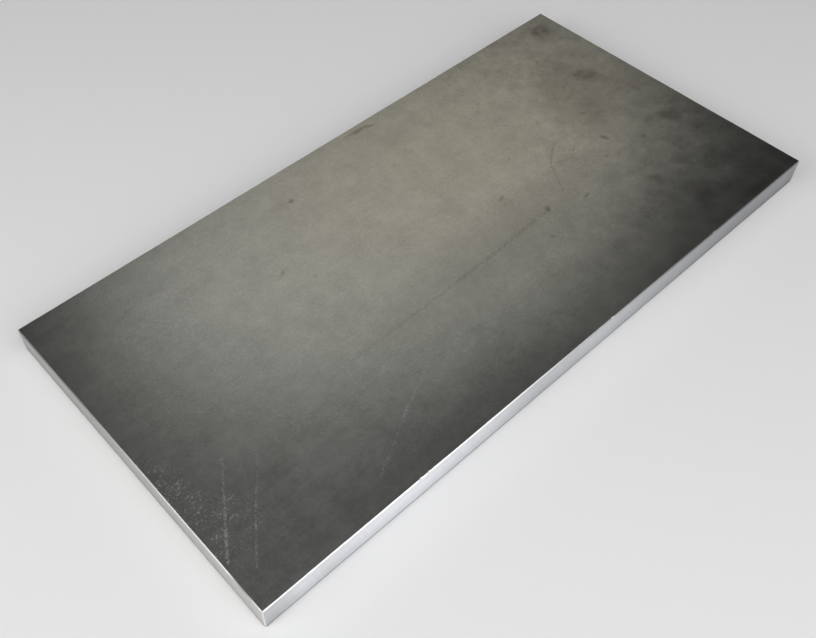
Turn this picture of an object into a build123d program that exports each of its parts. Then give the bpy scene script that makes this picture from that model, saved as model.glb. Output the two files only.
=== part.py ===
"""Aluminium plate: a rectangle sawn from rolled half-inch plate, lying flat.

Units are millimetres. The origin is the middle of the underside, with +X along the
length, +Y across the width and +Z up through the thickness.
"""

import os

from build123d import *

# Driving dimensions
plate_length = 304.8  # 12 in, along X, the rolling direction
plate_width = 152.4  # 6 in, along Y
plate_thickness = 12.7  # 1/2 in, the gauge the plate was rolled to, along Z
edge_break = 0.4  # leg of the filed 45 degree chamfer that takes the burr off every edge

# The plate: rolled top and bottom, sawn square on its four sides, every sharp edge filed off
with BuildPart() as plate:
    with BuildSketch(Plane.XY):
        Rectangle(plate_length, plate_width)
    extrude(amount=plate_thickness)
    chamfer(plate.edges(), length=edge_break)

plate.part.label = "plate"

os.makedirs("parts", exist_ok=True)
export_step(plate.part, "parts/plate.step")
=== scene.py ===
"""Aluminium plate: the worn mill finish, sawn sides and filed edges of one blank.

Laid out as an add-on and run as a script. Sizes and places are metres, apart from the marks,
whose places on the plate are millimetres from its middle.
"""

from math import cos, pi, radians, sin
from typing import NamedTuple

import bpy
from mathutils import Matrix, Quaternion, Vector


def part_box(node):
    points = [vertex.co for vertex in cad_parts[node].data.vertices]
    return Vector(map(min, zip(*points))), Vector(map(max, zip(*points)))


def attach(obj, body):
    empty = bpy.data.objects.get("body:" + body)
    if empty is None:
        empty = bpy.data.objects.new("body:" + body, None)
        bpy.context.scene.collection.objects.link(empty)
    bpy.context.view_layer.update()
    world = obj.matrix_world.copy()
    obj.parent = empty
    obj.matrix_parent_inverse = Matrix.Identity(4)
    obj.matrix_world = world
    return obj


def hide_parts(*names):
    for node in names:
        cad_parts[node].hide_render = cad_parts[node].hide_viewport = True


bl_info = {
    "name": "Aluminium plate",
    "version": (1, 0, 0),
    "blender": (4, 5, 0),
    "location": "View3D > Sidebar > Plate",
    "description": "A sawn blank of rolled aluminium plate on a pale studio floor",
    "category": "Object",
}

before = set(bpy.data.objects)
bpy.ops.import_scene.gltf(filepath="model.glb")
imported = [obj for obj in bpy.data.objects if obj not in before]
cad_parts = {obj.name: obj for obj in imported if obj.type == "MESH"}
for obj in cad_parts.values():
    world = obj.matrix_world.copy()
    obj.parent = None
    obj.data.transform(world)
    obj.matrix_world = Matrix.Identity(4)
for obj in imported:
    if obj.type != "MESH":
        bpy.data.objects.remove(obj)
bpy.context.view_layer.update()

MM = 0.001
UP = Vector((0.0, 0.0, 1.0))
LOW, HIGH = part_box("plate")
LENGTH, WIDTH, THICKNESS = HIGH - LOW


def measured_edge_break():
    """The chamfer's leg, read from how far the top face stops short of the plate's end."""
    touching = 0.01 * MM
    corners = [vertex.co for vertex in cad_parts["plate"].data.vertices]
    return HIGH.x - max(c.x for c in corners if HIGH.z - c.z < touching)


# Node trees


class Graph:
    """Draws a node tree. A socket, a node or a plain value may feed any input."""

    nodes_a_row = 12
    spacing = 220

    def __init__(self, tree):
        self.tree = tree

    def node(self, kind, inputs=(), **settings):
        """Adds a node with its settings, and feeds its inputs by name or number."""
        row, column = divmod(len(self.tree.nodes), self.nodes_a_row)
        made = self.tree.nodes.new(kind)
        made.location = column * self.spacing, -row * self.spacing
        for name, value in settings.items():
            setattr(made, name, value)
        for key, value in dict(inputs).items():
            self.feed(made.inputs[key], value)
        return made

    def feed(self, socket, value):
        """Links a node's first output or a socket to this input, or sets its value."""
        if isinstance(value, bpy.types.Node):
            value = value.outputs[0]
        if isinstance(value, bpy.types.NodeSocket):
            self.tree.links.new(value, socket)
        else:
            socket.default_value = value

    def math(self, operation, *values):
        """A Math node's result."""
        return self.node("ShaderNodeMath", enumerate(values), operation=operation).outputs[0]

    def total(self, first, *others):
        """The sum of several values."""
        for other in others:
            first = self.math("ADD", first, other)
        return first

    def vector(self, operation, *values):
        """A Vector Math node's result, a number for a length, distance or dot product."""
        made = self.node("ShaderNodeVectorMath", enumerate(values), operation=operation)
        number = operation in ("LENGTH", "DISTANCE", "DOT_PRODUCT")
        return made.outputs["Value" if number else "Vector"]

    def scaled(self, vector, factor):
        """A vector made longer or shorter, or a colour brighter or darker."""
        inputs = {"Vector": vector, "Scale": factor}
        return self.node("ShaderNodeVectorMath", inputs, operation="SCALE").outputs[0]

    def parts(self, vector):
        """The X, Y and Z of a vector."""
        return self.node("ShaderNodeSeparateXYZ", {0: vector}).outputs

    def together(self, x, y, z):
        """A vector from its X, Y and Z."""
        return self.node("ShaderNodeCombineXYZ", {0: x, 1: y, 2: z}).outputs[0]

    def fade(self, value, start, end, low=0.0, high=1.0):
        """Goes smoothly from low to high as the value goes from start to end."""
        inputs = {0: value, 1: start, 2: end, 3: low, 4: high}
        return self.node("ShaderNodeMapRange", inputs, interpolation_type="SMOOTHSTEP").outputs[0]

    def noise(self, vector, scale=1.0, detail=2.0, roughness=0.5):
        """Soft noise about one half."""
        inputs = {"Vector": vector, "Scale": scale, "Detail": detail, "Roughness": roughness}
        return self.node("ShaderNodeTexNoise", inputs).outputs["Fac"]

    def shaken(self, vector, scale, reach):
        """A place moved about in its XY plane by noise, by up to its reach."""
        noise = self.node("ShaderNodeTexNoise", {"Vector": vector, "Scale": scale})
        away = self.vector("SUBTRACT", noise.outputs["Color"], (0.5, 0.5, 0.5))
        away = self.vector("MULTIPLY", away, (2 * reach, 2 * reach, 0.0))
        return self.vector("ADD", vector, away)

    def sway(self, noise, amount):
        """What noise about one half adds, from minus to plus half the amount."""
        return self.math("MULTIPLY_ADD", noise, amount, -amount / 2)

    def mix(self, share, first, second):
        """One colour laid over another."""
        inputs = {0: share, 6: first, 7: second}
        return self.node("ShaderNodeMix", inputs, data_type="RGBA").outputs[2]

    def group(self, tree, inputs):
        """A shared shader group, with its outputs by name."""
        made = self.node("ShaderNodeGroup", node_tree=tree)
        for key, value in inputs.items():
            self.feed(made.inputs[key], value)
        return made.outputs


FLOAT, INT, VECTOR = "NodeSocketFloat", "NodeSocketInt", "NodeSocketVector"
GEOMETRY, MATERIAL = "NodeSocketGeometry", "NodeSocketMaterial"


def new_group(kind, name, inputs, outputs):
    """The graph of an empty node group with these sockets, and its inputs by name."""
    tree = bpy.data.node_groups.new(name, kind)
    for socket, form in inputs.items():
        tree.interface.new_socket(socket, in_out="INPUT", socket_type=form)
    for socket, form in outputs.items():
        tree.interface.new_socket(socket, in_out="OUTPUT", socket_type=form)
    graph = Graph(tree)
    return graph, graph.node("NodeGroupInput").outputs


# Settings


class PlateSizes(bpy.types.PropertyGroup):
    """The plate's sizes, and how evenly it was sawn and filed."""

    length: bpy.props.FloatProperty(
        name="Length", description="Along the rolling direction", default=LENGTH, unit="LENGTH"
    )
    width: bpy.props.FloatProperty(
        name="Width", description="Across the rolling direction", default=WIDTH, unit="LENGTH"
    )
    thickness: bpy.props.FloatProperty(
        name="Thickness", description="The rolled gauge", default=THICKNESS, unit="LENGTH"
    )
    edge_break: bpy.props.FloatProperty(
        name="Edge break",
        description="Leg of the filed chamfer",
        default=measured_edge_break(),
        unit="LENGTH",
    )
    file_wander: bpy.props.FloatProperty(
        name="File wander",
        description="Share by which the filed edge grows and shrinks along its run",
        default=0.3,
        subtype="FACTOR",
    )
    saw_pitch: bpy.props.FloatProperty(
        name="Saw pitch",
        description="From one saw mark to the next",
        default=1.4 * MM,
        unit="LENGTH",
    )
    saw_depth: bpy.props.FloatProperty(
        name="Saw depth", description="Depth of a saw mark", default=0.008 * MM, unit="LENGTH"
    )
    column_pitch: bpy.props.FloatProperty(
        name="Column pitch",
        description="From one column of the side's mesh to the next",
        default=0.35 * MM,
        unit="LENGTH",
    )
    side_rows: bpy.props.IntProperty(
        name="Side rows", description="Rows of the side's mesh between the filed edges", default=8
    )
    seed: bpy.props.IntProperty(
        name="Seed", description="Picks another run of saw and file marks", default=4
    )


class PlateFinish(bpy.types.PropertyGroup):
    """Colours and roughness of the rolled faces, the sawn sides and the filed edges."""

    rolled_colour: bpy.props.FloatVectorProperty(
        name="Rolled colour", description="Mill finish", default=(0.54, 0.55, 0.525), subtype="COLOR"
    )
    rolled_roughness: bpy.props.FloatProperty(
        name="Rolled roughness", description="Mill finish", default=0.25, subtype="FACTOR"
    )
    sawn_colour: bpy.props.FloatVectorProperty(
        name="Sawn colour", description="Fresh metal", default=(0.86, 0.875, 0.905), subtype="COLOR"
    )
    sawn_roughness: bpy.props.FloatProperty(
        name="Sawn roughness", description="Sides", default=0.45, subtype="FACTOR"
    )
    filed_colour: bpy.props.FloatVectorProperty(
        name="Filed colour", description="Bright edge", default=(0.9, 0.9, 0.89), subtype="COLOR"
    )
    filed_roughness: bpy.props.FloatProperty(
        name="Filed roughness", description="Broken edges", default=0.3, subtype="FACTOR"
    )


class StageLook(bpy.types.PropertyGroup):
    """The floor, the soft room round it and the camera."""

    floor_colour: bpy.props.FloatVectorProperty(
        name="Floor", description="Pale floor", default=(0.86, 0.86, 0.86), subtype="COLOR"
    )
    floor_roughness: bpy.props.FloatProperty(
        name="Floor roughness", description="Dull floor", default=0.9, subtype="FACTOR"
    )
    wall_light: bpy.props.FloatProperty(
        name="Wall light", description="Brightness of the lit wall behind the camera", default=0.72
    )
    wall_azimuth: bpy.props.FloatProperty(
        name="Wall azimuth", description="Its middle, from +X", default=radians(218), subtype="ANGLE"
    )
    backdrop_light: bpy.props.FloatProperty(
        name="Backdrop light", description="Brightness of the low backdrop all round", default=0.35
    )
    ceiling_light: bpy.props.FloatProperty(
        name="Ceiling light", description="Brightness of the dim ceiling overhead", default=0.1
    )
    lens: bpy.props.FloatProperty(
        name="Lens", description="Focal length", default=42.04, unit="CAMERA"
    )
    camera_place: bpy.props.FloatVectorProperty(
        name="Camera",
        description="Where the camera stands",
        default=(-0.2013, -0.1826, 0.3045),
        subtype="XYZ_LENGTH",
    )
    camera_aim: bpy.props.FloatVectorProperty(
        name="Aim",
        description="Point on the plate's top on the lens axis",
        default=(-0.0493, -0.0119, 0.0127),
        subtype="XYZ_LENGTH",
    )
    camera_roll: bpy.props.FloatProperty(
        name="Roll",
        description="Tilt of the camera about its axis",
        default=radians(-0.79),
        subtype="ANGLE",
    )
    camera_shift: bpy.props.FloatProperty(
        name="Shift", description="Sideways shift, as a share of the frame's width", default=0.05
    )


# Shape


class Nick(NamedTuple):
    """A small dent in the filed edge of the near long side, in millimetres."""

    along: float
    half_length: float
    depth: float


NEAR_EDGE_NICKS = (
    Nick(-82.5, 0.9, 0.3),
    Nick(-78.5, 0.8, 0.25),
    Nick(-76.0, 0.6, 0.15),
    Nick(21.0, 0.9, 0.2),
    Nick(88.0, 1.2, 0.25),
)


def sawn_plate_tree():
    """Sweeps the edge section round the sawn outline, then closes the rolled faces."""
    g, given = new_group(
        "GeometryNodeTree",
        "sawn_plate",
        {
            "Length": FLOAT,
            "Width": FLOAT,
            "Thickness": FLOAT,
            "Edge Break": FLOAT,
            "File Wander": FLOAT,
            "Saw Pitch": FLOAT,
            "Saw Depth": FLOAT,
            "Column Pitch": FLOAT,
            "Side Rows": INT,
            "Seed": INT,
            "Rolled": MATERIAL,
            "Sawn": MATERIAL,
            "Filed": MATERIAL,
        },
        {"Plate": GEOMETRY},
    )

    def choose(test, otherwise, chosen):
        inputs = {"Switch": test, "False": otherwise, "True": chosen}
        return g.node("GeometryNodeSwitch", inputs, input_type="FLOAT").outputs[0]

    def more(a, b):
        return g.math("GREATER_THAN", a, b)

    # The sawn outline, with its upright corners broken and a column of points every pitch
    sides = {"Width": given["Length"], "Height": given["Width"]}
    outline = g.node("GeometryNodeCurvePrimitiveQuadrilateral", sides, mode="RECTANGLE")
    corners = {"Curve": outline, "Count": 1, "Radius": given["Edge Break"]}
    outline = g.node("GeometryNodeFilletCurve", corners, mode="POLY")
    place = g.node("GeometryNodeInputPosition").outputs[0]
    count = g.node("GeometryNodeAttributeDomainSize", {0: outline}, component="CURVE").outputs[0]
    number = g.math("ADD", g.node("GeometryNodeInputIndex").outputs[0], 1.0)
    after = g.node("GeometryNodeFieldAtIndex", data_type="FLOAT_VECTOR", domain="POINT")
    g.feed(after.inputs["Value"], place)
    g.feed(after.inputs["Index"], g.math("MODULO", number, count))
    run = g.vector("DISTANCE", place, after)
    cuts = g.math("FLOOR", g.math("DIVIDE", run, given["Column Pitch"]))
    outline = g.node("GeometryNodeSubdivideCurve", {"Curve": outline, "Cuts": cuts})
    tangent = g.node("GeometryNodeInputTangent").outputs[0]
    on_outline = g.node("GeometryNodeCaptureAttribute", {0: outline}, domain="POINT")
    for name, field in (("Foot", place), ("Inward", g.vector("CROSS_PRODUCT", UP, tangent))):
        on_outline.capture_items.new("VECTOR", name)
        g.feed(on_outline.inputs[name], field)

    # One ring each for the two rolled faces' borders, and the side's rows between the edges
    last_ring = g.math("ADD", given["Side Rows"], 2.0)
    section = g.node("GeometryNodeCurvePrimitiveLine", mode="POINTS")
    rings = {"Curve": section, "Count": g.math("ADD", last_ring, 1.0)}
    section = g.node("GeometryNodeResampleCurve", rings, mode="COUNT")
    on_section = g.node("GeometryNodeCaptureAttribute", {0: section}, domain="POINT")
    on_section.capture_items.new("FLOAT", "Ring")
    g.feed(on_section.inputs["Ring"], g.node("GeometryNodeInputIndex"))
    band = g.node("GeometryNodeCurveToMesh", {"Curve": on_outline, "Profile Curve": on_section})
    foot, inward = on_outline.outputs["Foot"], on_outline.outputs["Inward"]
    ring = on_section.outputs["Ring"]

    # The file bites a little more here and less there, and a few nicks go deeper
    long_stroke, short_stroke, saw_waver = 22 * MM, 2.5 * MM, 9 * MM
    apart = 7.3
    seed_step = g.math("MULTIPLY", given["Seed"], apart)
    shifted = g.vector("ADD", foot, g.together(0.0, 0.0, seed_step))
    long_wave = g.sway(g.noise(shifted, 1 / long_stroke, 1.0), 2.4)
    short_wave = g.sway(g.noise(shifted, 1 / short_stroke), 0.9)
    bite = g.math("MULTIPLY_ADD", g.total(long_wave, short_wave), given["File Wander"], 1.0)
    leg = g.math("MULTIPLY", bite, given["Edge Break"])
    near_y = g.math("MULTIPLY", given["Width"], -0.5)
    for nick in NEAR_EDGE_NICKS:
        away = g.vector("DISTANCE", foot, g.together(nick.along * MM, near_y, 0.0))
        leg = g.total(leg, g.fade(away, nick.half_length * MM, 0.0, 0.0, nick.depth * MM))

    # Saw marks: slanting lines at the saw's pitch, deeper and shallower along the cut
    x, y, _ = g.parts(foot)
    side_run = g.math("DIVIDE", g.math("SUBTRACT", ring, 1.0), given["Side Rows"])
    side_run = g.math("MINIMUM", g.math("MAXIMUM", side_run, 0.0), 1.0)
    slant = 0.9 * MM
    slanted = g.math("MULTIPLY_ADD", side_run, slant, g.total(x, y))
    turns = g.math("DIVIDE", slanted, given["Saw Pitch"])
    waver = g.noise(shifted, 1 / saw_waver)
    ripple = g.math("SINE", g.math("MULTIPLY_ADD", waver, 9.0, g.math("MULTIPLY", turns, 2 * pi)))
    ripple = g.math("MULTIPLY", g.math("MULTIPLY_ADD", ripple, 0.5, 0.5), waver)
    sawn_in = g.math("MULTIPLY", ripple, given["Saw Depth"])

    is_top = g.math("LESS_THAN", ring, 0.5)
    is_under = more(ring, g.math("SUBTRACT", last_ring, 0.5))
    shoulder = g.math("SUBTRACT", given["Thickness"], leg)
    side_z = g.node("ShaderNodeMapRange", {0: side_run, 3: shoulder, 4: leg}).outputs[0]
    height = choose(is_top, choose(is_under, side_z, 0.0), given["Thickness"])
    inset = choose(is_top, choose(is_under, sawn_in, leg), leg)
    spot = g.vector("ADD", foot, g.scaled(inward, inset))
    spot = g.vector("ADD", spot, g.together(0.0, 0.0, height))
    band = g.node("GeometryNodeSetPosition", {"Geometry": band, "Position": spot})

    # The two rolled faces fill the rims of the band, and all three make one closed skin
    weld, crisp_bend = 0.001 * MM, radians(20)
    faces = []
    for rim, lift in ((is_top, given["Thickness"]), (is_under, 0.0)):
        border = g.node("GeometryNodeMeshToCurve", {"Mesh": band, "Selection": rim})
        face = g.node("GeometryNodeFillCurve", {"Curve": border}, mode="TRIANGLES")
        rise = g.together(0.0, 0.0, lift)
        face = g.node("GeometryNodeSetPosition", {"Geometry": face, "Offset": rise})
        rolled = {"Geometry": face, "Material": given["Rolled"]}
        faces.append(g.node("GeometryNodeSetMaterial", rolled))
    top, under = faces
    band = g.node("GeometryNodeSetMaterial", {"Geometry": band, "Material": given["Sawn"]})
    under = g.node("GeometryNodeFlipFaces", {"Mesh": under})
    skin = g.node("GeometryNodeJoinGeometry")
    for piece in (top, under, band):
        g.feed(skin.inputs[0], piece)
    skin = g.node("GeometryNodeMergeByDistance", {"Geometry": skin, "Distance": weld})
    skin = g.node("GeometryNodeSetShadeSmooth", {"Geometry": skin}, domain="FACE")
    bend = g.node("GeometryNodeInputMeshEdgeAngle").outputs[0]
    crisp = {"Geometry": skin, "Selection": more(bend, crisp_bend), "Shade Smooth": False}
    skin = g.node("GeometryNodeSetShadeSmooth", crisp, domain="EDGE")
    skin = g.node("GeometryNodeRealizeInstances", {0: skin})

    # Every break round the two rims and down the upright corners is filed
    middle = g.math("MULTIPLY", last_ring, 0.5)
    from_middle = g.math("ABSOLUTE", g.math("SUBTRACT", ring, middle))
    on_rim = more(from_middle, g.math("SUBTRACT", middle, 0.75))
    at_corner = 1.0
    for coordinate, side in ((x, given["Length"]), (y, given["Width"])):
        straight = g.math("MULTIPLY_ADD", side, 0.5, g.math("MULTIPLY", given["Edge Break"], -0.95))
        past = more(g.math("ABSOLUTE", coordinate), straight)
        at_corner = g.math("MULTIPLY", at_corner, past)
    filed = {"Geometry": skin, "Material": given["Filed"]}
    facing = g.parts(g.node("GeometryNodeInputNormal").outputs[0])[2]
    slanting = g.math("LESS_THAN", g.math("ABSOLUTE", facing), 0.9)
    filed["Selection"] = g.math("MULTIPLY", g.math("MAXIMUM", on_rim, at_corner), slanting)
    g.node("NodeGroupOutput", {0: g.node("GeometryNodeSetMaterial", filed)})
    return g.tree


# Finishes


class Patch(NamedTuple):
    """A soft oval mark, seen from above: its middle, half sizes, turn in degrees, strength."""

    x: float
    y: float
    half_length: float
    half_width: float
    turn: float
    strength: float


class Line(NamedTuple):
    """A drawn-out mark through points on a rolled face, with gaps, and its strength."""

    points: tuple
    half_width: float
    gaps: float
    strength: float


# Grease, damp and fingers have dulled the top, most of all towards its right end
TOP_STAINS = (
    Patch(140, 66, 10, 8, -20, 0.7),
    Patch(133, 70, 9, 4, 0, 0.3),
    Patch(129, 28, 12, 7, -55, 0.62),
    Patch(125, 41, 8, 9, 0, 0.4),
    Patch(141, 8, 9, 12, 0, 0.2),
    Patch(136, -18, 14, 6, -35, 0.58),
    Patch(127, -14, 6, 5, 0, 0.3),
    Patch(112, 16, 26, 32, 20, 0.2),
    Patch(96, -40, 8, 5, -30, 0.42),
    Patch(93, -31, 5, 4, 0, 0.26),
    Patch(104, -59, 8, 6, 20, 0.38),
    Patch(127, -49, 8, 6, 0, 0.15),
    Patch(144, -54, 8, 7, 0, 0.12),
    Patch(22, 71.6, 12, 1.8, 0, 0.7),
    Patch(30, 57, 14, 10, 30, 0.15),
    Patch(46, 31, 7, 2.4, 10, 0.18),
    Patch(36, -6, 8, 6, 0, 0.15),
    Patch(-39, 58, 16, 5, 4, 0.15),
    Patch(-101, 56, 6, 3, 0, 0.16),
    Patch(-56, 6, 6, 9, 20, 0.1),
    Patch(-116, -40, 12, 9, 40, 0.2),
)
# Drops of dirty water have dried to small spots
TOP_SPOTS = (
    Patch(47.5, -20, 3.0, 2.0, 40, 0.75),
    Patch(-30, 58, 2.2, 1.7, 20, 0.65),
    Patch(101, -7.5, 1.9, 3.4, 20, 0.7),
    Patch(107, 10, 2.0, 3.0, 30, 0.5),
    Patch(115, -19, 2.4, 1.5, 0, 0.45),
    Patch(37.5, -2.5, 3.2, 1.5, 25, 0.55),
    Patch(66, -26, 3.2, 1.3, 10, 0.55),
    Patch(37, -32, 2.2, 1.4, 0, 0.4),
    Patch(92, -16, 2.0, 1.4, 0, 0.35),
    Patch(-58.6, 28.7, 2.4, 1.1, 30, 0.45),
    Patch(-50, 18.7, 1.8, 1.3, 0, 0.25),
    Patch(120, 50, 2.2, 1.3, 50, 0.4),
    Patch(86, 20, 1.8, 1.0, 60, 0.35),
    Patch(58, 12, 2.6, 0.9, 25, 0.3),
    Patch(18, 44, 2.2, 1.2, 10, 0.3),
    Patch(-4, 12, 1.6, 1.0, 70, 0.25),
    Patch(76, 48, 2.8, 1.1, 35, 0.3),
)
# Broad bands along the drag line and at the near edge, and both ends, are a little darker
TOP_DARKER_BANDS = (
    Patch(25, -20, 95, 24, 0, 0.16),
    Patch(-45, -76, 95, 30, 0, 0.24),
    Patch(-152, 20, 75, 75, 0, 0.15),
    Patch(118, 22, 36, 40, 0, 0.17),
)
# The near right corner is a little brighter
TOP_BRIGHTER_CORNER = (Patch(128, -42, 42, 30, 0, 0.26),)
# A long drag line ends in a spot, and a hair has dried on in a curve
TOP_DRAG_LINES = (
    Line(((-67, -22.7), (-10, -22.5)), 1.2, 0.36, 0.22),
    Line(((-10, -22.5), (47, -20.8)), 1.4, 0.34, 0.3),
    Line(((18, -21.2), (47, -19.2)), 2.2, 0.4, 0.22),
    Line(((92.6, 8.7), (79.7, 4.4)), 0.6, 0.38, 0.2),
    Line(((79.7, 4.4), (73.6, 0.9), (69.6, -2.5), (66.3, -8.3)), 0.75, 0.32, 0.44),
    Line(((66.3, -8.3), (64.2, -11.8), (61, -17.1)), 0.65, 0.34, 0.3),
    Line(((70.9, -2.8), (77.3, -5.2), (84.5, -9.2)), 0.7, 0.38, 0.26),
    Line(((82, -4.6), (92, 0.6)), 0.8, 0.38, 0.3),
    Line(((-62.4, 27.5), (-58, 29.6), (-54.9, 30)), 0.8, 0.36, 0.28),
    Line(((-60, 9), (-55, 1)), 0.7, 0.4, 0.2),
)
# A thin film of old oil tints the top warm, all but its left end and its near edge
TOP_FILM = (Patch(70, 40, 230, 145, 0, 1.0),)
# Sliding over grit has scored the near left end bright
TOP_SCUFFS = (
    Line(((-128, -23), (-137.6, -36.7)), 0.7, 0.46, 0.32),
    Line(((-135, -33), (-150.5, -56)), 1.0, 0.45, 0.5),
    Line(((-117, -28.5), (-129.5, -44.1)), 0.5, 0.46, 0.26),
    Line(((-129.5, -44.1), (-144, -63)), 0.6, 0.44, 0.42),
    Line(((-45, -42.5), (-68, -53), (-92.4, -66.3)), 0.6, 0.45, 0.22),
    Line(((-56.5, -47), (-72, -55)), 0.7, 0.42, 0.25),
)
TOP_GRIT = (
    Patch(-147, -28, 9, 38, 8, 0.45),
    Patch(-140, -42, 15, 18, 20, 0.34),
    Patch(-147, -48, 8, 14, 0, 0.42),
)
# The underside was slid along benches, so its marks run longer and straighter
UNDER_STAINS = (
    Patch(-70, 30, 24, 14, 30, 0.25),
    Patch(95, -35, 16, 10, -20, 0.3),
    Patch(20, 58, 9, 5, 10, 0.3),
)
UNDER_SCUFFS = (
    Line(((-120, -40), (-10, -31)), 0.5, 0.45, 0.5),
    Line(((-96, 22), (64, 39)), 0.5, 0.5, 0.45),
    Line(((30, -60), (132, -22)), 0.6, 0.45, 0.5),
    Line(((60, 10), (141, 51)), 0.4, 0.5, 0.4),
)
# Stains dull the sides in places; the darkening of the near side towards its right end is painted
# shade as well
SIDE_STAINS_AND_SHADE = (
    Patch(150, -76, 215, 20, 0, 0.75),
    Patch(-8, -76, 52, 20, 0, 0.3),
    Patch(-152, 90, 20, 330, 0, 0.66),
    Patch(-60, 76, 90, 20, 0, 0.4),
    Patch(152, -10, 20, 60, 0, 0.35),
)
# Painted highlight: a glint brightens the near side towards its left end
SIDE_GLINT = (Patch(-92, -76, 36, 20, 0, 1.0),)
# Painted reflection: the left end's side is tinted warm, as a cream floor would show in it
SIDE_WARM_REFLECTION = (Patch(-153, 0, 2, 220, 0, 1.0),)
# The filed edges above the sides have gone dull as well
EDGE_STAINS = (
    Patch(130, -76, 190, 20, 0, 0.75),
    Patch(-152, 60, 20, 100, 0, 0.85),
    Patch(-152, -66, 4, 9, 0, 0.7),
    Patch(40, 76, 120, 20, 0, 0.5),
    Patch(152, 30, 20, 70, 0, 0.5),
)
# What the marks do to the metal's colour
STAIN_TINT = (0.42, 0.39, 0.36)
OIL_TINT = (1.0, 0.945, 0.83)
SIDE_REFLECTION_TINT = (1.0, 0.96, 0.88)
SCUFF_COLOUR = (0.88, 0.88, 0.88, 1.0)


def tool_marks_group():
    """Streaks that a roll, saw or file leaves, drawn out by their count per millimetre."""
    inputs = {"Place": VECTOR, "Per Millimetre": VECTOR}
    g, given = new_group("ShaderNodeTree", "tool_marks", inputs, {"Fine": FLOAT, "Broad": FLOAT})
    drawn = g.vector("MULTIPLY", given["Place"], given["Per Millimetre"])
    fine, broad = g.noise(drawn, 1.0, 3.0), g.noise(drawn, 0.17, 2.0)
    g.node("NodeGroupOutput", {"Fine": fine, "Broad": broad})
    return g.tree


def handling_group():
    """Clouds of dulled oxide, fine specks and curled hairlines, by their size in millimetres."""
    inputs = {"Place": VECTOR, "Cloud Size": FLOAT, "Speck Size": FLOAT}
    outputs = {"Clouds": FLOAT, "Specks": FLOAT, "Hairlines": FLOAT}
    g, given = new_group("ShaderNodeTree", "handling", inputs, outputs)
    per_cloud = g.math("DIVIDE", 1.0, given["Cloud Size"])
    clouds = g.noise(given["Place"], per_cloud, 6.0, 0.82)
    specks = g.noise(given["Place"], g.math("DIVIDE", 1.0, given["Speck Size"]), 1.0)
    elsewhere = g.vector("ADD", given["Place"], (310.0, 170.0, 0.0))
    bends = g.noise(elsewhere, g.math("MULTIPLY", per_cloud, 1.6), 1.0)
    thin = 0.008
    hairline = g.fade(g.math("ABSOLUTE", g.math("SUBTRACT", bends, 0.5)), thin, 0.0)
    hairline = g.math("MULTIPLY", hairline, g.fade(clouds, 0.5, 0.62))
    found = {"Clouds": clouds, "Specks": specks, "Hairlines": hairline}
    g.node("NodeGroupOutput", found)
    return g.tree


def soft_patch_group():
    """A soft oval mark, full at its middle."""
    inputs = {"Place": VECTOR, "Middle": VECTOR, "Half Sizes": VECTOR, "Turn": FLOAT}
    g, given = new_group("ShaderNodeTree", "soft_patch", inputs, {"Mask": FLOAT})
    away = g.vector("SUBTRACT", given["Place"], given["Middle"])
    back = g.math("MULTIPLY", given["Turn"], -1.0)
    turned = {"Vector": away, "Angle": back}
    turned = g.node("ShaderNodeVectorRotate", turned, rotation_type="Z_AXIS").outputs[0]
    reach = g.vector("LENGTH", g.vector("DIVIDE", turned, given["Half Sizes"]))
    g.node("NodeGroupOutput", {"Mask": g.fade(reach, 1.0, 0.1)})
    return g.tree


def drawn_line_group():
    """A thin mark from start to end, left out where the dots fall below the gaps."""
    inputs = {"Place": VECTOR, "Start": VECTOR, "End": VECTOR}
    inputs.update({"Half Width": FLOAT, "Dots": FLOAT, "Gaps": FLOAT})
    g, given = new_group("ShaderNodeTree", "drawn_line", inputs, {"Mask": FLOAT})
    run = g.vector("SUBTRACT", given["End"], given["Start"])
    out = g.vector("SUBTRACT", given["Place"], given["Start"])
    share = g.math("DIVIDE", g.vector("DOT_PRODUCT", out, run), g.vector("DOT_PRODUCT", run, run))
    share = g.math("MINIMUM", g.math("MAXIMUM", share, 0.0), 1.0)
    off = g.vector("DISTANCE", out, g.scaled(run, share))
    line = g.fade(off, given["Half Width"], 0.0)
    unbroken = g.fade(given["Dots"], given["Gaps"], g.math("ADD", given["Gaps"], 0.2))
    g.node("NodeGroupOutput", {"Mask": g.math("MULTIPLY", line, unbroken)})
    return g.tree


class Effects(NamedTuple):
    """The shared shader groups."""

    tool_marks: bpy.types.NodeTree
    handling: bpy.types.NodeTree
    soft_patch: bpy.types.NodeTree
    drawn_line: bpy.types.NodeTree


def new_material(name):
    """A material with its graph, its shader and its surface coordinates in millimetres."""
    material = bpy.data.materials.new(name)
    material.use_nodes = True
    material.node_tree.nodes.clear()
    g = Graph(material.node_tree)
    shader = g.node("ShaderNodeBsdfPrincipled")
    g.node("ShaderNodeOutputMaterial", {"Surface": shader})
    place = g.node("ShaderNodeTexCoord").outputs["Object"]
    return material, g, shader, g.scaled(place, 1 / MM)


def finish_metal(g, shader, colour, roughness, height_mm):
    """Feeds the shader of a bare metal."""
    relief = g.node("ShaderNodeBump", {"Height": height_mm, "Distance": MM})
    feeds = {"Base Color": colour, "Roughness": roughness, "Metallic": 1.0, "Normal": relief}
    for name, value in feeds.items():
        g.feed(shader.inputs[name], value)


def draw_patches(g, effects, place, patches):
    """The strongest of the soft patches at each point."""
    strongest = 0.0
    for patch in patches:
        inputs = {
            "Place": place,
            "Middle": (patch.x, patch.y, 0.0),
            "Half Sizes": (patch.half_length, patch.half_width, 1.0),
            "Turn": radians(patch.turn),
        }
        mask = g.group(effects.soft_patch, inputs)["Mask"]
        strongest = g.math("MAXIMUM", strongest, g.math("MULTIPLY", mask, patch.strength))
    return strongest


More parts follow.
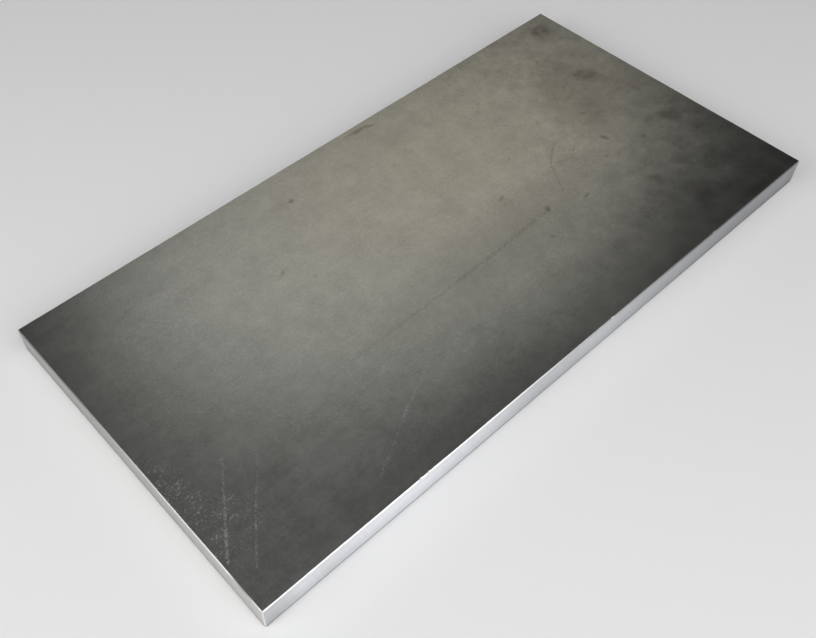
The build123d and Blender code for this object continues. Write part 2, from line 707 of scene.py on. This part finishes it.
def draw_lines(g, effects, place, dots, lines):
    """The strongest of the drawn lines at each point."""
    strongest = 0.0
    for line in lines:
        for start, end in zip(line.points, line.points[1:]):
            inputs = {
                "Place": place,
                "Start": (*start, 0.0),
                "End": (*end, 0.0),
                "Half Width": line.half_width,
                "Dots": dots,
                "Gaps": line.gaps,
            }
            mask = g.group(effects.drawn_line, inputs)["Mask"]
            strongest = g.math("MAXIMUM", strongest, g.math("MULTIPLY", mask, line.strength))
    return strongest


def mill_finish(look, effects):
    """Rolled faces: grain along the length, dull clouds, stains, drag lines and scuffs."""
    material, g, shader, place = new_material("mill_finish")
    grain = g.group(effects.tool_marks, {"Place": place, "Per Millimetre": (0.03, 2.4, 1.0)})
    worn = g.group(effects.handling, {"Place": place, "Cloud Size": 14.0, "Speck Size": 0.8})

    # Marks lie in the plane of the face, shaken and broken up by noise counted per millimetre
    x, y, z = g.parts(place)
    flat = g.together(x, y, 0.0)
    ragged, shaky = g.shaken(flat, 0.16, 2.6), g.shaken(flat, 0.4, 0.6)
    drifting = g.shaken(flat, 0.1, 0.8)
    dots, blots = g.noise(flat, 0.8), g.noise(flat, 0.22, 5.0, 0.7)
    grains = g.math("MULTIPLY", g.noise(flat, 1.0, 1.0), 0.7)
    skips = g.math("MULTIPLY_ADD", g.noise(flat, 0.2), 0.4, grains)
    is_top = g.math("GREATER_THAN", z, THICKNESS / MM / 2)
    is_under = g.math("SUBTRACT", 1.0, is_top)
    top_stain = draw_patches(g, effects, ragged, TOP_STAINS)
    top_stain = g.math("MULTIPLY", top_stain, g.fade(blots, 0.38, 0.62, 0.45, 1.15))
    top_stain = g.math("MAXIMUM", top_stain, draw_patches(g, effects, shaky, TOP_SPOTS))
    lines = draw_lines(g, effects, shaky, dots, TOP_DRAG_LINES)
    top_stain = g.math("MAXIMUM", top_stain, lines)
    top_grit = g.fade(skips, 0.56, 0.74)
    top_grit = g.math("MULTIPLY", draw_patches(g, effects, ragged, TOP_GRIT), top_grit)
    top_scuff = draw_lines(g, effects, drifting, skips, TOP_SCUFFS)
    top_scuff = g.math("MAXIMUM", top_scuff, top_grit)
    under_stain = draw_patches(g, effects, ragged, UNDER_STAINS)
    under_scuff = draw_lines(g, effects, shaky, dots, UNDER_SCUFFS)
    stain = g.math("MULTIPLY", top_stain, is_top)
    stain = g.math("MULTIPLY_ADD", under_stain, is_under, stain)
    stain = g.math("MULTIPLY_ADD", worn["Hairlines"], 0.14, stain)
    scuff = g.math("MULTIPLY", top_scuff, is_top)
    scuff = g.math("MULTIPLY_ADD", under_scuff, is_under, scuff)
    warm_tint = g.math("MULTIPLY", draw_patches(g, effects, ragged, TOP_FILM), is_top)
    # Broad darker bands and a brighter near right corner shift the top's brightness
    darker_bands = draw_patches(g, effects, ragged, TOP_DARKER_BANDS)
    brighter_corner = draw_patches(g, effects, ragged, TOP_BRIGHTER_CORNER)
    bands_and_corner = g.math("MULTIPLY", g.math("SUBTRACT", brighter_corner, darker_bands), is_top)

    # The clouds show more towards the right end
    cloudy = g.math("MULTIPLY", g.sway(worn["Clouds"], 1.0), g.fade(x, 20.0, 130.0, 0.7, 1.25))
    shade = g.total(
        1.0,
        cloudy,
        g.sway(worn["Specks"], 0.26),
        g.sway(grain["Fine"], 0.14),
        g.sway(grain["Broad"], 0.08),
    )
    shade = g.math("MULTIPLY", shade, g.math("ADD", 1.0, bands_and_corner))
    colour = g.scaled(look.rolled_colour, shade)
    colour = g.mix(warm_tint, colour, g.vector("MULTIPLY", colour, OIL_TINT))
    colour = g.mix(stain, colour, g.vector("MULTIPLY", colour, STAIN_TINT))
    colour = g.mix(scuff, colour, SCUFF_COLOUR)
    roughness = g.total(
        look.rolled_roughness,
        g.math("MULTIPLY", cloudy, 0.05),
        g.sway(dots, 0.05),
        g.sway(grain["Broad"], 0.04),
        g.math("MULTIPLY", scuff, 0.28),
    )

    # Relief in millimetres: long waves from the rolls, fine pebbling and the grain
    wave_run, wave_height, pebble_height, grain_height = 38, 0.08, 0.006, 0.0002
    waves = g.math("MULTIPLY", g.noise(flat, 1 / wave_run, 1.0), wave_height)
    pebbles = g.math("MULTIPLY", dots, pebble_height)
    height = g.total(waves, pebbles, g.math("MULTIPLY", grain["Fine"], grain_height))
    finish_metal(g, shader, colour, roughness, height)
    return material


def sawn_side(look, effects):
    """Sawn sides: faint slanting saw lines in bright metal, dull in clouds, with painted shade
    towards the foot.
    """
    material, g, shader, place = new_material("sawn_side")
    x, y, z = g.parts(place)
    slanted = g.total(x, y, g.math("MULTIPLY", z, 0.3))
    marks = {"Place": g.together(slanted, z, 0.0), "Per Millimetre": (1.6, 0.1, 1.0)}
    marks = g.group(effects.tool_marks, marks)
    worn = g.group(effects.handling, {"Place": place, "Cloud Size": 16.0, "Speck Size": 0.6})
    shade = g.total(
        1.0,
        g.sway(marks["Fine"], 0.14),
        g.sway(marks["Broad"], 0.1),
        g.sway(worn["Clouds"], 0.16),
        g.sway(worn["Specks"], 0.08),
    )
    flat = g.together(x, y, 0.0)
    dull = draw_patches(g, effects, flat, SIDE_STAINS_AND_SHADE)
    glint = draw_patches(g, effects, flat, SIDE_GLINT)
    # Darker where the sides are stained, and painted shade towards the near side's right end
    shade = g.math("MULTIPLY", shade, g.math("MULTIPLY_ADD", dull, -0.7, 1.0))
    # Painted highlight on the near side towards its left end
    shade = g.math("MULTIPLY", shade, g.math("MULTIPLY_ADD", glint, 0.12, 1.0))
    brightest = 1.1
    shade = g.math("MINIMUM", shade, brightest)

    # Painted shade: darker towards the floor, and a painted contact shadow as a dark line at the
    # foot
    shade = g.math("MULTIPLY", shade, g.fade(z, 0.5, 10.0, 0.85, 1.0))
    shade = g.math("MULTIPLY", shade, g.fade(z, 0.4, 1.5, 0.45, 1.0))
    roughness = g.total(
        look.sawn_roughness,
        g.sway(marks["Fine"], 0.12),
        g.sway(worn["Clouds"], 0.12),
        g.math("MULTIPLY", dull, 0.1),
    )
    colour = g.scaled(look.sawn_colour, shade)
    # Painted reflection of a warm floor on the left end's side
    warm_tint = draw_patches(g, effects, flat, SIDE_WARM_REFLECTION)
    colour = g.mix(warm_tint, colour, g.vector("MULTIPLY", colour, SIDE_REFLECTION_TINT))
    saw_line_height = 0.003
    height = g.math("MULTIPLY", marks["Fine"], saw_line_height)
    finish_metal(g, shader, colour, roughness, height)
    return material


def filed_edge(look, effects):
    """Filed edges: bright metal with file marks along the run, with painted shade darkening them
    round the underside.
    """
    material, g, shader, place = new_material("filed_edge")
    x, y, z = g.parts(place)
    along = g.together(g.total(x, y), z, 0.0)
    marks = g.group(effects.tool_marks, {"Place": along, "Per Millimetre": (0.25, 9.0, 1.0)})
    worn = g.group(effects.handling, {"Place": place, "Cloud Size": 9.0, "Speck Size": 0.5})
    shade = g.total(1.0, g.sway(marks["Fine"], 0.12), g.sway(worn["Clouds"], 0.2))
    dull = draw_patches(g, effects, g.together(x, y, 0.0), EDGE_STAINS)
    shade = g.math("MULTIPLY", shade, g.math("MULTIPLY_ADD", dull, -0.8, 1.0))
    # Painted shade: the filed edges darken towards the floor, as a painted contact shadow
    shade = g.math("MULTIPLY", shade, g.fade(z, 0.3, 1.6, 0.3, 1.0))
    roughness = g.total(
        look.filed_roughness, g.sway(marks["Fine"], 0.1), g.sway(worn["Clouds"], 0.15)
    )
    file_mark_height = 0.002
    height = g.math("MULTIPLY", marks["Fine"], file_mark_height)
    finish_metal(g, shader, g.scaled(look.filed_colour, shade), roughness, height)
    return material


class PLATE_OT_make_plate(bpy.types.Operator):
    """Makes the plate's skin, with its sawn sides, filed edges and worn rolled faces"""

    bl_idname = "plate.make_plate"
    bl_label = "Make plate"

    def execute(self, context):
        sizes, look = context.scene.plate_sizes, context.scene.plate_finish
        effects = Effects(
            tool_marks_group(), handling_group(), soft_patch_group(), drawn_line_group()
        )
        values = {
            "Length": sizes.length,
            "Width": sizes.width,
            "Thickness": sizes.thickness,
            "Edge Break": sizes.edge_break,
            "File Wander": sizes.file_wander,
            "Saw Pitch": sizes.saw_pitch,
            "Saw Depth": sizes.saw_depth,
            "Column Pitch": sizes.column_pitch,
            "Side Rows": sizes.side_rows,
            "Seed": sizes.seed,
            "Rolled": mill_finish(look, effects),
            "Sawn": sawn_side(look, effects),
            "Filed": filed_edge(look, effects),
        }
        tree = sawn_plate_tree()
        drawn = bpy.data.objects.new("drawn_plate", bpy.data.meshes.new("drawn_plate"))
        context.scene.collection.objects.link(drawn)
        maker = drawn.modifiers.new("sawn_plate", "NODES")
        maker.node_group = tree
        for socket in tree.interface.items_tree:
            if socket.in_out == "INPUT":
                maker[socket.identifier] = values[socket.name]
        depsgraph = context.evaluated_depsgraph_get()
        mesh = bpy.data.meshes.new_from_object(drawn.evaluated_get(depsgraph))
        bpy.data.objects.remove(drawn)
        if not mesh.polygons:
            raise RuntimeError("the plate came out with no faces")
        mesh.name = "plate_metal"
        plate = bpy.data.objects.new("plate_metal", mesh)
        context.scene.collection.objects.link(plate)
        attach(plate, "root")
        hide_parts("plate")
        return {"FINISHED"}


# Stage


class Softbox(NamedTuple):
    """A soft oval lamp that faces the plate.

    Azimuth runs from +X and roll turns its long side from level, both in degrees. A surface
    that mirrors it shows its brightness, where 1 is white.
    """

    name: str
    azimuth: float
    elevation: float
    distance: float
    size: tuple
    roll: float
    brightness: float
    colour: tuple


SOFTBOXES = (
    Softbox("far_strip", 48.8, 46.5, 4.0, (2.81, 1.29), 23.1, 0.61, (1.0, 0.985, 0.95)),
    Softbox("near_box", 250, 48, 0.6, (0.7, 0.7), 0, 1.2, (1.0, 1.0, 1.0)),
    Softbox("left_box", 172, 32, 0.75, (0.4, 0.4), 0, 3.2, (1.0, 1.0, 1.0)),
    Softbox("edge_box", 287, 18, 0.9, (0.28, 0.28), 0, 1.25, (1.0, 1.0, 1.0)),
)


def direction(azimuth, elevation):
    """A way out from the plate, from angles in radians."""
    level = Vector((cos(azimuth), sin(azimuth), 0.0))
    return level * cos(elevation) + UP * sin(elevation)


def hang(box):
    """Hangs one softbox, facing the plate."""
    lamp = bpy.data.lights.new(box.name, "AREA")
    lamp.shape = "ELLIPSE"
    lamp.size, lamp.size_y = box.size
    lamp.color = box.colour
    oval = pi / 4 * lamp.size * lamp.size_y
    lamp.energy = box.brightness * pi * oval
    out = direction(radians(box.azimuth), radians(box.elevation))
    level = out.cross(UP).normalized()
    long_side = Quaternion(out, radians(box.roll)) @ level
    hung = bpy.data.objects.new(box.name, lamp)
    hung.location = out * box.distance
    hung.rotation_mode = "QUATERNION"
    turn = Matrix((long_side, out.cross(long_side), out)).transposed()
    hung.rotation_quaternion = turn.to_quaternion()
    return hung


def soft_room(look):
    """A world with a lit wall behind the camera, a low pale backdrop and a dim ceiling."""
    world = bpy.data.worlds.new("soft_room")
    world.use_nodes = True
    g = Graph(world.node_tree)
    outward = g.node("ShaderNodeTexCoord").outputs["Generated"]
    behind = g.vector("DOT_PRODUCT", outward, direction(look.wall_azimuth, 0.0))
    height = g.parts(outward)[2]

    def at(degrees):
        """The height of a way out at this elevation."""
        return sin(radians(degrees))

    # The wall fades out sideways, and to half at the floor, where the backdrop hides the horizon
    wall = g.fade(behind, -0.35, 0.25, 0.0, look.wall_light)
    wall = g.math("MULTIPLY", wall, g.fade(height, at(0), at(9), 0.5, 1.0))
    backdrop = g.fade(height, at(30), at(12), 0.0, look.backdrop_light)
    unlit = 0.008
    ceiling = g.fade(height, at(48), at(68), unlit, look.ceiling_light)
    lit = g.math("MAXIMUM", g.math("MAXIMUM", wall, backdrop), ceiling)
    g.feed(world.node_tree.nodes["Background"].inputs["Color"], lit)
    return world


class PLATE_OT_make_stage(bpy.types.Operator):
    """Lays the pale floor, hangs the soft lamps and stands the camera"""

    bl_idname = "plate.make_stage"
    bl_label = "Make stage"

    def execute(self, context):
        look, scene = context.scene.plate_stage, context.scene
        reach = 20.0
        mesh = bpy.data.meshes.new("floor")
        square = [(-reach, -reach, 0), (reach, -reach, 0), (reach, reach, 0), (-reach, reach, 0)]
        mesh.from_pydata(square, [], [(0, 1, 2, 3)])
        floor = bpy.data.objects.new("floor", mesh)
        scene.collection.objects.link(floor)
        material, _, shader, _ = new_material("pale_floor")
        shader.inputs["Base Color"].default_value = (*look.floor_colour, 1.0)
        shader.inputs["Roughness"].default_value = look.floor_roughness
        mesh.materials.append(material)

        for box in SOFTBOXES:
            scene.collection.objects.link(hang(box))
        scene.world = soft_room(look)

        lens = bpy.data.cameras.new("camera")
        lens.lens, lens.shift_x = look.lens, look.camera_shift
        lens.clip_start, lens.clip_end = 0.01, 100.0
        camera = bpy.data.objects.new("camera", lens)
        camera.location = look.camera_place
        ahead = Vector(look.camera_aim) - Vector(look.camera_place)
        camera.rotation_mode = "QUATERNION"
        level = ahead.to_track_quat("-Z", "Y")
        camera.rotation_quaternion = level @ Quaternion(UP, look.camera_roll)
        scene.collection.objects.link(camera)
        scene.camera = camera
        scene.view_settings.view_transform = "Standard"
        return {"FINISHED"}


# Add-on


class PLATE_PT_sidebar(bpy.types.Panel):
    """Lists the plate's operators and settings"""

    bl_idname = "PLATE_PT_sidebar"
    bl_label = "Aluminium plate"
    bl_space_type = "VIEW_3D"
    bl_region_type = "UI"
    bl_category = "Plate"

    def draw(self, context):
        for operator in OPERATORS:
            self.layout.operator(operator.bl_idname)
        for name in SETTINGS:
            group = getattr(context.scene, name)
            box = self.layout.box()
            for field in group.__annotations__:
                box.prop(group, field)


OPERATORS = (PLATE_OT_make_plate, PLATE_OT_make_stage)
SETTINGS = {"plate_sizes": PlateSizes, "plate_finish": PlateFinish, "plate_stage": StageLook}


def register():
    """Adds the settings, the operators and the panel."""
    for made in (*SETTINGS.values(), *OPERATORS, PLATE_PT_sidebar):
        bpy.utils.register_class(made)
    for name, group in SETTINGS.items():
        setattr(bpy.types.Scene, name, bpy.props.PointerProperty(type=group))


def unregister():
    """Takes them away again."""
    for name in SETTINGS:
        delattr(bpy.types.Scene, name)
    for made in (PLATE_PT_sidebar, *reversed(OPERATORS), *reversed(SETTINGS.values())):
        bpy.utils.unregister_class(made)


def main():
    """Makes the plate and its stage."""
    register()
    bpy.ops.plate.make_plate()
    bpy.ops.plate.make_stage()


if __name__ == "__main__":
    main()
